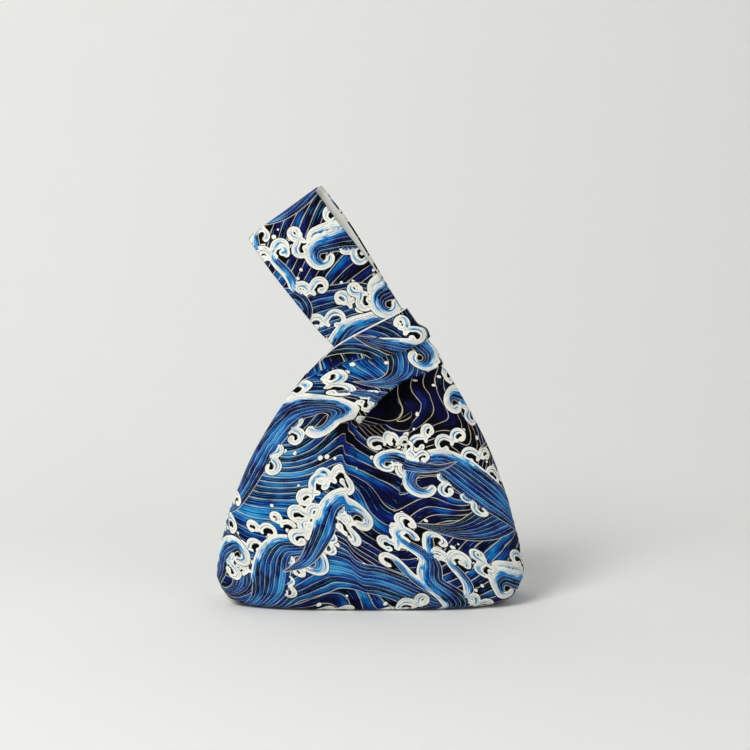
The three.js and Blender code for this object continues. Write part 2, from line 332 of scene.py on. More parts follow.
# the flat cut: lengths along the cloth from its middle column and from the edge of the base
def flatCut(points, grids):
    bodyIds, shortIds, longIds = grids
    flat = np.zeros((len(points), 2))
    footLength = 60  # a handle is cut square, and this much of it is bunched as it bends

    def across(ids, middle):
        length = lengthAlong(points[ids], 1)
        return length - length[:, middle:middle + 1]

    up = lengthAlong(points[bodyIds])
    rise = np.zeros(len(points))
    flat[bodyIds, 0] = across(bodyIds, steps["left"] + 1)
    flat[bodyIds, 1] = up - up[steps["base"]]
    rise[bodyIds] = up - up[-1]
    for ids in (shortIds, longIds):
        middle = ids.shape[1] // 2
        start = flat[ids[0]].copy()
        length = lengthAlong(points[ids])
        straight = length[:, middle:middle + 1]
        square = mix(length + start[:, 1], straight + start[middle, 1], smooth(straight, 0, footLength))
        flat[ids[1:], 0] = (across(ids, middle) + start[middle, 0])[1:]
        flat[ids[1:], 1] = square[1:]
        rise[ids[1:]] = length[1:]
    return flat, rise


# shares of the long handle between which it slips aside and twists
settle = dict(slip=(0.4, 0.7), slipBack=(0.85, 1), twist=(0.4, 1))


def settleLoop(points, share, side):
    slip = bag["slip"] * window(share, settle["slip"], settle["slipBack"])
    angle = bag["twist"] * smooth(share, *settle["twist"])
    away = points - loopTop
    across = away @ loopRight
    moved = across * np.cos(angle) + away[:, 1] * np.sin(angle) - across + side * slip
    placed = points + loopRight * moved[:, None]
    placed[:, 1] = away[:, 1] * np.cos(angle) - across * np.sin(angle)
    return placed


grid = panelGrid()
grid["normals"] = gridNormals(grid["points"], grid["grids"])
grid["flat"], grid["rise"] = flatCut(grid["points"], grid["grids"])
print("cloth grid", len(grid["points"]), "points, cut", np.ptp(grid["flat"], axis=0).round(), "mm")

# finer folds: right side, share across, width, height, from and to along the cloth, drift
fineFolds = [
    (False, 0.24, 0.045, -1.3, -80, 6, 0.03), (False, 0.31, 0.02, 0.6, -60, 20, 0.03),
    (False, 0.54, 0.05, -1.7, -120, 4, 0.05), (False, 0.61, 0.02, 0.7, -70, 20, 0.05),
    (False, 0.86, 0.05, -1.4, -70, 2, 0.04), (True, 0.14, 0.05, -1.2, -60, -3, -0.02),
    (True, 0.40, 0.045, -1.4, -85, -4, -0.03), (True, 0.47, 0.02, 0.6, -60, -4, -0.03),
    (True, 0.68, 0.05, -1.7, -100, -4, -0.04),
]
fineFade = dict(reach=150, spread=160, driftPer=100, taper=0.25, end=12)


def fineFoldHeights():
    column, rise, onRight = grid["column"], grid["rise"], grid["onRight"]
    widening = 1 + np.clip(-rise, 0, fineFade["reach"]) / fineFade["spread"]
    height = np.zeros(len(rise))
    for right, share, width, tall, low, high, drift in fineFolds:
        across = bump(column, share + drift * rise / fineFade["driftPer"], width * widening)
        along = window(rise, (low, low * fineFade["taper"]), (high - fineFade["end"], high))
        height += (onRight == right) * tall * across * along
    return height


# folds that fan out from a lower corner: x, z, angle, spread, reach, height
fans = [
    (-118, 14, 0.55, 0.09, 52, 1.7), (-118, 14, 0.82, 0.08, 60, -1.4), (-118, 14, 1.12, 0.09, 70, 1.4),
    (118, 14, 2.50, 0.09, 60, 1.8), (118, 14, 2.22, 0.08, 66, -1.6), (118, 14, 1.95, 0.09, 74, 1.3),
]
fanFade = dict(middle=0.62, width=0.42)


def fanHeights():
    x, _, z = grid["points"].T
    height = np.zeros(len(x))
    for cornerX, cornerZ, angle, spread, reach, tall in fans:
        away = np.hypot(x - cornerX, z - cornerZ)
        turn = np.arctan2(z - cornerZ, x - cornerX)
        along = bump(away, reach * fanFade["middle"], reach * fanFade["width"])
        height += tall * bump(turn, angle, spread) * along
    return height


# smooth random hills, evenly spread
def softNoise(p, q, size, seed, cells=64):
    table = np.random.default_rng(seed).uniform(-1, 1, (cells, cells))
    a, b = np.asarray(p) / size, np.asarray(q) / size
    i, j = np.floor(a).astype(int), np.floor(b).astype(int)
    u, v = smooth(a - i, 0, 1), smooth(b - j, 0, 1)

    def at(right, up):
        return table[(i + right) % cells, (j + up) % cells]

    return mix(mix(at(0, 0), at(1, 0), u), mix(at(0, 1), at(1, 1), u), v)


# soft wrinkles by height and size, sharp ones, and long ones that run up to the handles
softWrinkles = ((1.1, 46), (0.5, 21), (0.2, 8))
sharpWrinkles = dict(height=1.1, size=37, slant=0.4, sharpness=4)
longWrinkles = dict(height=0.7, size=12, stretch=0.25, start=-90, full=-10)


def wrinkleHeights(seed):
    p, q = grid["flat"].T
    height = sum(tall * softNoise(p, q, size, seed + k) for k, (tall, size) in enumerate(softWrinkles))
    ridges = 1 - np.abs(softNoise(p + sharpWrinkles["slant"] * q, q, sharpWrinkles["size"], seed + 3))
    height += sharpWrinkles["height"] * ridges ** sharpWrinkles["sharpness"]
    streaks = softNoise(p, q * longWrinkles["stretch"], longWrinkles["size"], seed + 4)
    nearHandles = smooth(grid["rise"], longWrinkles["start"], longWrinkles["full"])
    return height + longWrinkles["height"] * streaks * nearHandles


# a sharp crease down the front: height and place of its points, depth, width on each side
crease = dict(line=((32, 11), (73, 17), (126, 29), (151, 34)), depth=5.5, left=22, right=6,
              start=(18, 80), end=6)


def creaseAt(z):
    return np.interp(z, *zip(*crease["line"]))


def creaseDepth():
    x, _, z = grid["points"].T
    off = x - creaseAt(z)
    across = np.exp(-np.abs(off) / np.where(off < 0, crease["left"], crease["right"]))
    onBody = 1 - smooth(grid["rise"], -crease["end"], crease["end"])
    return crease["depth"] * across * smooth(z, *crease["start"]) * onBody


# the wall folds over where it turns into the base
baseFold = dict(height=12, sway=1.5, swayLength=17, half=1.2, depth=2.0, ridge=0.9, ridgeAt=20, ridgeWidth=6,
                inner=88, outer=108)


def baseFoldHeight():
    x, _, z = grid["points"].T
    front = 1 - smooth(np.abs(x), baseFold["inner"], baseFold["outer"])
    foldAt = baseFold["height"] + baseFold["sway"] * np.sin(x / baseFold["swayLength"])
    below = 1 - smooth(z, foldAt - baseFold["half"], foldAt + baseFold["half"])
    ridge = baseFold["ridge"] * bump(z, baseFold["ridgeAt"], baseFold["ridgeWidth"])
    return front * (ridge - baseFold["depth"] * below)


gathers = dict(height=0.45, pitch=10.5, place=7, width=5)  # along the side seams
quiet = dict(seam=(0.2, 9), floor=(1, 12))  # no folds at the seams and on the floor
# folds stay low where the long handle passes through the short one
choke = dict(start=-18, low=0.12, free=0.6, foot=(4, 18), top=(84, 110))
shortLimit = dict(start=8, low=-0.15, high=2.4)
# the flap's free edge stands off, the cloth beside the neckline sinks, and the pleat's upper part lies on top
freeEdge = dict(height=3.2, across=(0.7, 1), start=(-26, 22), end=(62, 90))
sunken = dict(height=-3.0, across=(0.4, 0.95), start=(-55, 2), end=(8, 26))
pleat = dict(height=2.4, foot=0.10, top=0.56, length=95, reach=-0.3, half=0.014, start=(2, 30))


# across the short handle, how far a point is past the pleat's line
def pastPleat():
    line = mix(pleat["foot"], pleat["top"], smooth(grid["rise"], 0, pleat["length"]))
    return grid["column"] - line


def beforePleat():
    return 1 - smooth(pastPleat(), -pleat["half"], pleat["half"])


def foldHeights(seed):
    near, z = np.abs(grid["points"][:, 1]), grid["points"][:, 2]
    q, rise, column, onRight = grid["flat"][:, 1], grid["rise"], grid["column"], grid["onRight"]
    height = fineFoldHeights() + fanHeights() + wrinkleHeights(seed) - creaseDepth() + baseFoldHeight()
    waves = np.sin(q * 2 * np.pi / gathers["pitch"] + seed)
    height += gathers["height"] * waves * bump(near, gathers["place"], gathers["width"])
    height *= smooth(near, *quiet["seam"]) * smooth(z, *quiet["floor"])
    inLoop = onRight & (rise > choke["start"])
    free = smooth(-rise, *choke["foot"]) + smooth(rise, *choke["top"])
    height *= np.where(inLoop, choke["low"] + choke["free"] * free, 1)
    onShort = ~onRight & (rise > shortLimit["start"])
    height = np.where(onShort, np.clip(height, shortLimit["low"], shortLimit["high"]), height)

    def raised(spot):
        return spot["height"] * smooth(column, *spot["across"]) * window(rise, spot["start"], spot["end"])

    over = smooth(pastPleat(), pleat["reach"], -pleat["half"]) * beforePleat() * smooth(rise, *pleat["start"])
    return height + np.where(onRight, raised(sunken), raised(freeEdge) + pleat["height"] * over)


# the print: rolling waves with foam, spray and dark hollows, on a tile that repeats
tile = dict(wide=250.0, high=240.0, scale=1.28, bands=36)
repeats = [(i * tile["wide"], j * tile["high"]) for i in (-1, 0, 1) for j in (-1, 0, 1)]
farAway = 9.0  # a distance at which no mark shows
layerCount = 4
nearLayer = 2  # from this layer on, the strokes lie over hollows of their own
# half widths along a stroke, by the share of its length
claw = [(0, 2.0), (0.25, 2.8), (0.5, 3.0), (0.7, 2.4), (0.86, 1.9), (0.96, 2.6), (1, 2.5)]
tongue = [(0, 1.2), (0.3, 3.6), (0.55, 3.6), (0.75, 2.5), (0.87, 1.9), (0.96, 2.5), (1, 2.4)]
finger = [(0, 1.7), (0.3, 3.9), (0.55, 4.0), (0.75, 2.8), (0.87, 2.2), (0.96, 2.9), (1, 2.8)]
scroll = dict(root=11, first=9, second=7, foot=3, neck=4, spread=0.75, secondSize=0.78, turns=0.68)


# one brush stroke: a line that ends in a curl, with its widths, foam and stripes
def stroke(layer, line, curl, turns, sense, widths, foamFrom=-0.5, foamWide=5.6, stripes=2):
    return dict(layer=layer, line=np.array(line, float), curl=curl, turns=turns, sense=sense, widths=widths,
                foamFrom=foamFrom, foamWide=foamWide, stripes=stripes)


# two scrolls of foam on one root that roll away from each other
def scrollPair(layer, place, turn, curl, sense):
    root = np.array(place) - scroll["root"] * np.array([math.cos(turn), math.sin(turn)])
    pair = []
    for angle, long, size, way in (
            (turn, scroll["first"], curl, sense),
            (turn - scroll["spread"] * sense, scroll["second"], scroll["secondSize"] * curl, -sense)):
        ahead = np.array([math.cos(angle), math.sin(angle)])
        aside = np.array([-ahead[1], ahead[0]]) * way
        line = [root - aside * scroll["foot"], root + ahead * scroll["neck"] - aside, root + ahead * long]
        pair.append(stroke(layer, line, size, scroll["turns"], way, claw))
    return pair


# pairs of scrolls, each with its place, turn, size and sense
def scrolls(layer, *pairs):
    return [brush for pair in pairs for brush in scrollPair(layer, *pair)]


motifs = dict(
    breaker=[
        stroke(1, [(-74, -44), (-42, -26), (-18, 5), (6, 27), (26, 27)], 15, 0.62, -1,
               [(0, 0.5), (0.18, 9), (0.38, 16), (0.54, 15), (0.68, 11), (0.8, 8), (0.92, 5), (1, 3.6)],
               0.3, 6.8, 8),
    ] + scrolls(1, ((-35, 19), 1.35, 5.6, -1), ((-18, 37), 1.05, 6.4, -1), ((3, 50), 0.7, 7.0, -1),
                ((27, 50), 0.2, 6.4, -1), ((47, 38), -0.45, 5.8, -1), ((55, 19), -1.2, 5.2, -1),
                ((14, 7), -0.5, 5.0, -1), ((-4, -12), -0.9, 5.2, -1)),
    flame=[
        stroke(3, [(-8, -54), (6, -34), (-6, -15), (4, 2), (-3, 16)], 7.5, 0.62, -1,
               [(0, 0.4), (0.2, 9.5), (0.45, 8), (0.65, 6), (0.82, 4), (0.93, 2.8), (1, 3.2)], -0.1, 5.2, 6),
        stroke(3, [(4, -34), (15, -20), (16, -2)], 6.6, 0.63, -1, tongue, foamWide=4.6, stripes=3),
        stroke(3, [(-4, -28), (-15, -14), (-17, 3)], 6.2, 0.63, 1, tongue, foamWide=4.6, stripes=3),
        stroke(3, [(3, -8), (9, 8), (16, 18)], 5.6, 0.63, -1, tongue, foamWide=4.6, stripes=3),
    ] + scrolls(3, ((-28, -28), 2.5, 5.0, 1), ((27, -30), 0.5, 5.0, -1), ((-13, 20), 2.1, 5.6, 1),
                ((24, 6), 0.7, 5.4, -1), ((6, 33), 1.5, 5.6, -1)),
    crest=[
        stroke(2, [(-50, -24), (-34, -15), (-15, 3), (7, 9)], 9.5, 0.7, -1,
               [(0, 0.4), (0.22, 7), (0.48, 10), (0.68, 7.5), (0.84, 5), (0.93, 3.4), (1, 3.4)], 0.1, 6.4, 6),
        stroke(2, [(-24, 2), (-9, 15), (6, 18)], 7, 0.63, -1, finger, foamWide=7, stripes=3),
    ] + scrolls(2, ((-33, 11), 1.3, 5.6, -1), ((-13, 28), 1.0, 6.0, -1), ((25, 14), -0.4, 5.2, -1),
                ((-8, -12), -1.0, 5.0, -1)),
    curler=[
        stroke(3, [(-62, -30), (-42, -28), (-22, -17), (-4, -3), (8, 1)], 8, 0.63, -1,
               [(0, 0.5), (0.25, 4.5), (0.5, 7.5), (0.7, 7), (0.84, 4.5), (0.93, 3.2), (1, 3.4)],
               0.3, 6.4, 5),
    ] + scrolls(3, ((-24, 4), 1.9, 5.6, 1), ((-9, 17), 1.5, 6.4, -1), ((10, 19), 0.8, 6.0, -1),
                ((-37, -9), 2.6, 4.8, 1), ((2, -16), -0.9, 5.0, -1)),
    swell=[
        stroke(0, [(-80, -24), (-48, -18), (-18, 4), (8, 18), (38, 15)], 28, 0.5, -1,
               [(0, 0.5), (0.25, 11), (0.55, 16), (0.8, 11), (1, 0.6)], 2.0, 1, 8),
    ],
)
# motif, place on the tile, turn, size, mirrored
layout = [
    ("swell", -66, 190, 0.5, 1.0, False), ("swell", 20, 228, -0.2, 1.0, False),
    ("swell", 108, 66, -0.4, 0.9, False), ("swell", -30, 24, 0.2, 1.0, True),
    ("breaker", -44, 122, 0.1, 1.0, False), ("breaker", 74, 92, -0.05, 0.82, True),
    ("breaker", 40, 196, -0.1, 0.85, False), ("breaker", -66, 34, 0.05, 0.72, False),
    ("flame", 24, 46, 0.1, 0.95, False), ("flame", -112, 106, 0.25, 0.8, True),
    ("crest", 74, 28, -0.15, 0.9, True), ("curler", -14, 80, 0.2, 1.0, False),
    ("crest", 88, 222, 0.1, 0.9, True), ("crest", -26, -14, 0.0, 0.9, False),
    ("curler", -104, 56, 0.1, 0.95, False), ("curler", 112, 12, -0.1, 0.9, True),
    ("curler", 98, 158, -0.2, 0.95, True), ("curler", -104, 152, 0.1, 0.85, False),
    ("curler", 30, 122, 0.3, 0.7, True),
]
# eddies that turn the sea's lines: place, turn, reach
eddies = [(58, 140, -1.1, 44), (-110, 176, 0.8, 36), (-30, 30, 0.6, 30)]
# where the sea's lines arch up or sink, and where it catches the light: place, reach, height, light
hills = [
    (-84, 84, 48, 14, 0.16), (-20, 60, 42, -12, 0.02), (96, 60, 44, 12, 0.12), (30, 150, 46, -14, -0.06),
    (-10, 206, 48, 14, 0.14), (-100, 200, 40, -10, -0.06), (86, 190, 42, 10, 0.1), (-80, 12, 40, -8, 0.06),
    # the entry at (60, 140) has no height and only darkens: it lies under the short handle on the front panel
    # and is painted shade
    (20, 10, 40, 10, 0.1), (110, 118, 38, -8, -0.06), (60, 140, 44, 0, -0.08), (-60, 140, 36, 8, 0.16),
    (-40, 86, 30, 6, 0.18), (-38, 172, 32, 6, 0.22),
]


# the stroke's middle line with its rolled-up end, and the middle of the roll
def strokePath(brush, points=60, tightening=0.95):
    line = curveAt(brush["line"], np.linspace(0, 1, points), spacing=0)
    ahead = line[-1] - line[-2]
    ahead /= np.linalg.norm(ahead)
    aside = np.array([-ahead[1], ahead[0]]) * brush["sense"]
    middle = line[-1] + aside * brush["curl"]
    angle = np.linspace(0, brush["turns"] * 2 * math.pi, points)[1:, None]
    radius = brush["curl"] * np.exp(-tightening * angle / (2 * math.pi))
    roll = middle - radius * (aside * np.cos(angle) - ahead * np.sin(angle))
    return np.vstack([line, roll]), middle


# the stripes of each stroke start at a shift of their own
placing = dict(seed=4, shifts=6, thinnest=0.5)


def placeStrokes():
    shifts = np.random.default_rng(placing["seed"])
    placed = []
    for kind, p, q, turn, size, mirrored in layout:
        flip = np.array([-1 if mirrored else 1, 1])
        spin = np.array([[math.cos(turn), math.sin(turn)], [-math.sin(turn), math.cos(turn)]])
        for brush in motifs[kind]:
            path, middle = strokePath(brush)
            placed.append(dict(
                brush, kind=kind, path=(path * size * flip) @ spin + (p, q), sense=brush["sense"] * flip[0],
                middle=(middle * size * flip) @ spin + (p, q), curl=brush["curl"] * size,
                widths=[(k, max(v * size, placing["thinnest"])) for k, v in brush["widths"]],
                foamWide=brush["foamWide"] * size, shift=float(shifts.integers(0, placing["shifts"]))))
    return placed


foamStart = dict(length=0.3, notch=0.8, notchLength=0.08)


# distance to the stroke's edge, stripe count across it and depth into its foam
def strokeFields(p, q, brush):
    path = brush["path"]
    part = np.diff(path, axis=0)
    length = np.linalg.norm(part, axis=1) + 1e-9
    along = np.concatenate([[0], np.cumsum(length)])
    wide = np.interp(along / along[-1], *zip(*brush["widths"]))
    best = np.full(len(p), np.inf)
    crest, share, reach = np.zeros(len(p)), np.zeros(len(p)), np.ones(len(p))
    for k in range(len(part)):
        dx, dy = p - path[k, 0], q - path[k, 1]
        t = np.clip((dx * part[k, 0] + dy * part[k, 1]) / length[k] ** 2, 0, 1)
        away = np.hypot(dx - t * part[k, 0], dy - t * part[k, 1])
        here = mix(wide[k], wide[k + 1], t)
        near = away - here < best
        best[near] = (away - here)[near]
        hand = np.sign(part[k, 1] * dx - part[k, 0] * dy) * brush["sense"]
        crest[near] = (hand * away)[near]
        share[near] = along[k] + t[near] * length[k]
        reach[near] = here[near]
    share /= along[-1]
    start = brush["foamFrom"]
    foam = brush["foamWide"] * smooth(share, start, start + foamStart["length"])
    notch = 1 - smooth(share, start, start + foamStart["notchLength"])
    foam -= reach - crest + foamStart["notch"] * notch
    stripe = (crest / reach * 0.5 + 0.5) * brush["stripes"] + brush["shift"]
    return np.stack([best, stripe, foam], -1)


def strokeLayers(strokes, p, q, margin=4):
    layers = np.tile(np.array([farAway, 0.0, -farAway]), (layerCount, len(p), 1))
    for brush in strokes:
        room = max(v for _, v in brush["widths"]) + margin
        low, high = brush["path"].min(0) - room, brush["path"].max(0) + room
        for right, up in repeats:
            a, b = p - right, q - up
            hit = np.flatnonzero((a > low[0]) & (a < high[0]) & (b > low[1]) & (b < high[1]))
            if len(hit):
                fields = strokeFields(a[hit], b[hit], brush)
                closer = fields[:, 0] < layers[brush["layer"], hit, 0]
                layers[brush["layer"], hit[closer]] = fields[closer]
    return layers


# drops of spray round a curl, by its size; a small curl has a dark hollow in it and a large one an eddy
spray = dict(seed=5, near=1.6, far=3.0, gap=2, smallest=0.8, largest=1.7, manyFrom=5)
hollowOf = dict(reach=0.95, largest=9.9)
eddyOf = dict(turn=1.3, reach=2.7)


def sprayFields(strokes, p, q):
    hollows = np.full((2, len(p)), farAway)
    drops = np.full(len(p), farAway)
    swirls = [(cp + right, cq + up, turn, reach) for cp, cq, turn, reach in eddies for right, up in repeats]
    scatter = np.random.default_rng(spray["seed"])
    for brush in strokes:
        if brush["kind"] == "swell":
            continue
        level = 1 if brush["layer"] >= nearLayer else 0
        curl = brush["curl"]
        angles = scatter.uniform(0, 2 * np.pi, 2 if curl > spray["manyFrom"] else 1)
        reaches = curl * scatter.uniform(spray["near"], spray["far"], len(angles)) + spray["gap"]
        sizes = scatter.uniform(spray["smallest"], spray["largest"], len(angles))
        for right, up in repeats:
            cp, cq = brush["middle"] + (right, up)
            if curl < hollowOf["largest"]:
                away = np.hypot(p - cp, q - cq)
                hollows[level] = np.minimum(hollows[level], away - curl * hollowOf["reach"])
            else:
                swirls.append((cp, cq, brush["sense"] * eddyOf["turn"], curl * eddyOf["reach"]))
            for angle, reach, size in zip(angles, reaches, sizes):
                away = np.hypot(p - cp - reach * np.cos(angle), q - cq - reach * np.sin(angle))
                drops = np.minimum(drops, away - size)
    return hollows, drops, swirls


def wrapped(value, size, middle):
    return value - size * np.floor((value - middle) / size + 0.5)


# the long swing of the sea's lines and the shorter one on it
swing = dict(tall=16, shift=0.94, shortTall=8, shortShift=1.88, squash=1.4)


# stripe count of the sea at points of the tile, and the light on it: the print's own lighter and darker
# patches, with one patch of painted shade under the short handle
def seaFlow(p, q, swirls):
    flowP, flowQ = p.copy(), q.copy()
    for cp, cq, turn, reach in swirls:
        dp, dq = flowP - cp, flowQ - cq
        turned = turn * np.exp(-(dp ** 2 + dq ** 2) / reach ** 2)
        flowP = cp + dp * np.cos(turned) - dq * np.sin(turned)
        flowQ = cq + dp * np.sin(turned) + dq * np.cos(turned)
    a, b = 2 * np.pi * flowP / tile["wide"], 2 * np.pi * flowQ / tile["high"]
    rise = swing["tall"] * np.sin(a + swing["shift"])
    rise += swing["shortTall"] * np.sin(2 * a - b + swing["shortShift"])
    light = np.zeros(len(p))
    for hillP, hillQ, reach, tall, glow in hills:
        dp, dq = wrapped(flowP - hillP, tile["wide"], 0), wrapped(flowQ - hillQ, tile["high"], 0)
        hill = np.exp(-(dp ** 2 + swing["squash"] * dq ** 2) / reach ** 2)
        rise -= tall * hill
        light += glow * hill
    return (flowQ + rise) / tile["high"] * tile["bands"], light


# the print's fields at points of the flat cut, in millimetres of cloth
def printFields(cutP, cutQ, tileMiddle=60, step=0.2, closeness=(0.2, 2.0)):
    allP, allQ = cutP / tile["scale"], cutQ / tile["scale"]
    p, q = wrapped(allP, tile["wide"], 0), wrapped(allQ, tile["high"], tileMiddle)
    strokes = placeStrokes()
    layers = strokeLayers(strokes, p, q)
    hollows, drops, swirls = sprayFields(strokes, p, q)
    flow, light = seaFlow(p, q, swirls)
    aside, above = seaFlow(p + step, q, swirls)[0], seaFlow(p, q + step, swirls)[0]
    slope = np.hypot(aside - flow, above - flow) / step
    flow += (allQ - q) / tile["high"] * tile["bands"]
    close = np.clip(slope * tile["high"] / tile["bands"], *closeness)
    return layers, np.stack([flow, drops, hollows[0]], -1), np.stack([light, close, hollows[1]], -1)


# where a ply's edge starts to stand out along a handle's outer and inner edge, and how round it is
rimFade = dict(outer=(25, 55), inner=(2, 12), roundness=0.3, atEdge=0.001)


# one ply as a closed sheet: fine on its outer face, coarser on the inner one, with a rounded edge between
def plyMesh(name, side, outside, inside, lift, edges):
    points, normals, rim = grid["points"], grid["normals"], grid["rim"]

    def placed(ids, depth):
        place = points[ids] + normals[ids] * (lift[ids] - depth)[:, None]
        place[onSeam(points[ids]), 1] = 0
        place[:, 1] = side * (-place[:, 1] + bag["plyGap"] / 2)
        return settleLoop(place, grid["longShare"][ids], side)

    every = np.arange(len(points))
    coarse = np.unique(np.concatenate([ids[::coarseStep, ::coarseStep].ravel() for ids in grid["grids"]]))
    outer = placed(every, outside)
    inner = placed(coarse, inside)
    before, after = points[np.roll(rim, 1)], points[np.roll(rim, -1)]
    outward = np.cross(after - before, normals[rim])
    outward /= np.maximum(np.linalg.norm(outward, axis=1, keepdims=True), 1e-9)
    outward[onSeam(points[rim])] = 0
    outward[:, 1] *= -side
    column, rise = grid["column"][rim], grid["rise"][rim]
    onOuter = (column < rimFade["atEdge"]) * smooth(rise, *rimFade["outer"])
    onInner = (column > 1 - rimFade["atEdge"]) * smooth(rise, *rimFade["inner"])
    spread = (inside - outside) * rimFade["roundness"] + onInner * edges["inner"]
    spread += onOuter * np.where(grid["onRight"][rim], edges["long"], edges["short"])
    edge = placed(rim, (outside + inside) / 2) + outward * spread[:, None]
    verts = np.concatenate([outer, edge, inner])
    edgeIds = len(outer) + np.arange(len(rim))
    innerIds = np.full(len(points), -1)
    innerIds[coarse] = len(outer) + len(rim) + np.arange(len(coarse))

    quads = [cellsOf(ids) for ids in grid["grids"]]
    quads += [innerIds[cellsOf(ids, coarseStep)][:, ::-1] for ids in grid["grids"]]
    quads.append(np.stack([np.roll(rim, -1), rim, edgeIds, np.roll(edgeIds, -1)], -1))
    quads = np.concatenate(quads)
    # three fine steps of the edge meet one coarse step of the inner face
    loop = np.concatenate([edgeIds, edgeIds[:1]])
    fine = [loop[k:len(rim) - 2 + k:coarseStep] for k in range(coarseStep + 1)]
    corner = innerIds[rim[::coarseStep]]
    nextCorner = np.roll(corner, -1)
    tris = np.concatenate([np.stack(ids, -1) for ids in (
        (fine[1], fine[0], corner), (fine[2], fine[1], corner),
        (fine[2], corner, nextCorner), (fine[3], fine[2], nextCorner))])
    if side > 0:
        quads, tris = quads[:, ::-1], tris[:, ::-1]
    mesh = bpy.data.meshes.new(name)
    mesh.from_pydata((verts / 1000).tolist(), [], quads.tolist() + tris.tolist())
    mesh.shade_smooth()
    mesh.validate()
    return mesh, np.concatenate([every, rim, coarse])


def addPiece(name, mesh, node, material):
    piece = bpy.data.objects.new(name, mesh)
    scene.collection.objects.link(piece)
    mesh.materials.append(material)
    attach(piece, "root")
    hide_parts(node)
    return piece


# colours are given as they look on screen, from 0 to 255
def paint(red, green, blue):
    shares = (v / 255 for v in (red, green, blue))
    return tuple(((v + 0.055) / 1.055) ** 2.4 if v > 0.04 else v / 12.92 for v in shares) + (1,)


ink = dict(
    black=paint(3, 4, 13), outline=paint(4, 6, 22), navy=paint(9, 12, 56), royal=paint(15, 36, 116),
    azure=paint(5, 100, 178), light=paint(56, 160, 216), cream=paint(242, 241, 226),
    gold=paint(196, 186, 150),
)


def addNode(tree, kind, values=(), **settings):
    node = tree.nodes.new("ShaderNode" + kind)
    for key, value in settings.items():
        setattr(node, key, value)
    for slot, value in dict(values).items():
        if isinstance(value, bpy.types.NodeSocket):
            tree.links.new(value, node.inputs[slot])
        else:
            node.inputs[slot].default_value = value
    return node


def maths(tree, operation, *values):
    return addNode(tree, "Math", dict(enumerate(values)), operation=operation).outputs[0]


# sockets 6, 7 and 2 of the mix are those for colours
def blend(tree, share, below, above):
    return addNode(tree, "Mix", {0: share, 6: below, 7: above}, data_type="RGBA").outputs[2]


def split(tree, vector):
    return addNode(tree, "SeparateXYZ", {0: vector}).outputs


def scaleBy(tree, vector, scale):
    return addNode(tree, "VectorMath", {0: vector, "Scale": scale}, operation="SCALE").outputs[0]


def noise(tree, place, scale, detail):
    return addNode(tree, "TexNoise", {"Vector": place, "Scale": scale, "Detail": detail})


def newGroup(name, inputs, outputs):
    tree = bpy.data.node_groups.new(name, "ShaderNodeTree")
    for sockets, way in ((inputs, "INPUT"), (outputs, "OUTPUT")):
        for socket, kind in sockets.items():
            tree.interface.new_socket(socket, in_out=way, socket_type="NodeSocket" + kind)
    return tree, tree.nodes.new("NodeGroupInput").outputs, tree.nodes.new("NodeGroupOutput").inputs


def colourRamp(tree, value, marks):
    ramp = addNode(tree, "ValToRGB", {0: value})
    elements = ramp.color_ramp.elements
    while len(elements) < len(marks):
        elements.new(1.0)
    for element, (position, name) in zip(elements, marks):
        element.position = position
        element.color = ink[name]
    return ramp.outputs["Color"]


# brush marks that run along the stripes: noise stretched the way the stripes go
def brushNoise(tree, flat, stripe, along, across):
    spread = addNode(tree, "VectorMath", {0: flat, 1: (along, along, 0)}, operation="MULTIPLY").outputs[0]
    axes = split(tree, spread)
    place = addNode(tree, "CombineXYZ", {0: axes[0], 1: axes[1], 2: maths(tree, "MULTIPLY", stripe, across)})
    return noise(tree, place.outputs[0], scale=1.0, detail=2.0).outputs[0]


# where across a stripe's own hairs a point lies, from 0 to 1
def hairPart(tree, stripe, hairs):
    return maths(tree, "FRACT", maths(tree, "MULTIPLY_ADD", stripe, hairs["count"], hairs["shift"]))


sea = dict(
    brush=(4.0, 0.6), fineBrush=(9.0, 0.9), patchScale=1.7, patches=0.5, shade=0.16, ownTone=0.42,
    ramp=((0.28, "black"), (0.37, "navy"), (0.48, "navy"), (0.6, "royal"), (0.74, "azure"), (0.88, "light")),
    darkHairs=dict(count=2.0, shift=0.3, wide=0.16, strength=0.85),
    paleHairs=dict(count=3.0, shift=0.62, wide=0.8, least=-0.26, strength=0.7),
    goldLine=(0.17, -0.02),
)


